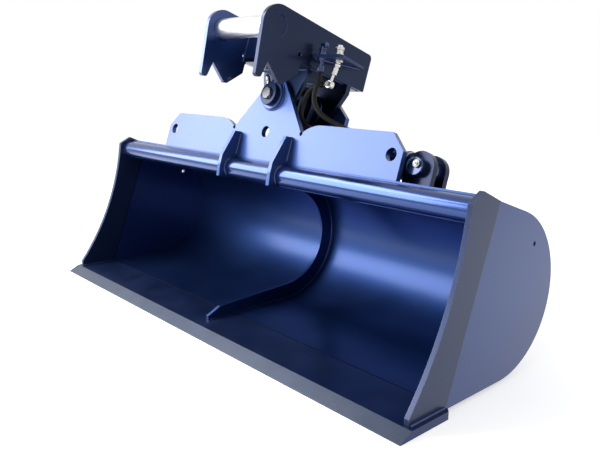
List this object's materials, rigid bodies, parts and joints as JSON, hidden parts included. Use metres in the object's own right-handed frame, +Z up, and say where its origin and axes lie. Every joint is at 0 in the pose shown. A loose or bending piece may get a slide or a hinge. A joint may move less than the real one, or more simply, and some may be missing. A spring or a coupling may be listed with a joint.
{
  "type": "tilt ditching bucket",
  "caption": "Wide ditching bucket with a rolled shell and flat cutting edge, hung from a hydraulic tilting hitch head on one long pivot pin.",
  "frame": {"origin": "on the ground under the middle of the object's length and depth", "axes": "+X along the cutting edge to the ram side, +Y from the cutting edge to the back of the shell, +Z up"},
  "size_m": [1.5, 0.5741, 0.8483],
  "materials": {
    "navy_paint": "gloss",
    "bright_steel": "turned",
    "pin_steel": "satin",
    "zinc_plate": "plated",
    "chromed_steel": "polished",
    "bronze": "machined",
    "hose_rubber": "matte",
    "seal_rubber": "matte"
  },
  "bodies": {
    "bucket": {"bucket_shell": "navy_paint", "cutting_edge": "navy_paint", "side_cutter_left": "navy_paint", "side_cutter_right": "navy_paint", "side_sheet_left": "navy_paint", "side_sheet_right": "navy_paint", "top_tube": "navy_paint", "centre_rib": "navy_paint", "hanger_plate_front": "navy_paint", "hanger_plate_rear": "navy_paint", "gusset_left": "navy_paint", "gusset_right": "navy_paint", "pivot_boss_front": "navy_paint", "pivot_boss_rear": "navy_paint", "pivot_pin": "pin_steel", "pivot_collar": "pin_steel", "pivot_grease_fitting": "zinc_plate", "pivot_grease_cap": "hose_rubber", "pivot_keeper": "navy_paint", "pivot_keeper_bolts": "zinc_plate", "thrust_washers": "bronze", "ram_lug_front": "navy_paint", "ram_lug_rear": "navy_paint", "ram_base_pin": "pin_steel", "ram_base_keeper": "navy_paint", "ram_base_grease_fitting": "zinc_plate"},
    "tilt_head": {"head_side_plate_left": "navy_paint", "head_side_plate_right": "navy_paint", "hitch_pin": "bright_steel", "head_floor_plate": "navy_paint", "head_cross_plate": "navy_paint", "head_lock_plate": "navy_paint", "hub_tube": "navy_paint", "head_web_front": "navy_paint", "head_web_rear": "navy_paint", "pivot_bush_front": "bronze", "pivot_bush_rear": "bronze", "crank_plate_front": "navy_paint", "crank_plate_rear": "navy_paint", "rod_pin_ends": "pin_steel", "coupler_bracket": "navy_paint", "quick_coupler_outer": "zinc_plate", "quick_coupler_inner": "navy_paint", "coupler_union_outer": "zinc_plate", "coupler_union_inner": "zinc_plate", "hose_gland": "hose_rubber", "hose_base": "hose_rubber"},
    "ram_cylinder": {"ram_barrel": "navy_paint", "ram_base_eye": "navy_paint", "ram_base_bush": "bronze", "ram_gland": "navy_paint", "ram_wiper": "seal_rubber", "ram_port_unions": "zinc_plate"},
    "ram_rod": {"ram_rod": "chromed_steel", "ram_rod_eye": "navy_paint", "rod_eye_bush": "bronze", "rod_pin_middle": "pin_steel", "ram_piston": "pin_steel", "ram_piston_seal": "seal_rubber"}
  },
  "joints": [
    {"name": "tilt", "type": "hinge", "parent": "bucket", "child": "tilt_head", "pos_m": [0, 0.03084, 0.61674], "axis": [0, 0.9455, -0.3256], "range_deg": [-40, 40], "deforming": ["hose_gland", "hose_base"]},
    {"name": "ram_swing", "type": "hinge", "parent": "bucket", "child": "ram_cylinder", "pos_m": [0.52, 0.05649, 0.4609], "axis": [0, 0.9455, -0.3256], "range_deg": [-0.6, 0.6]},
    {"name": "ram_stroke", "type": "slide", "parent": "ram_cylinder", "child": "ram_rod", "axis": [-0.9964, 0.0275, 0.0797], "range_m": [-0.061, 0.061]}
  ],
  "couplings": [
    {"joint": "ram_swing", "follows": "tilt", "ratio": -0.0141},
    {"joint": "ram_stroke", "follows": "tilt", "m_per_rad": 0.0868}
  ]
}
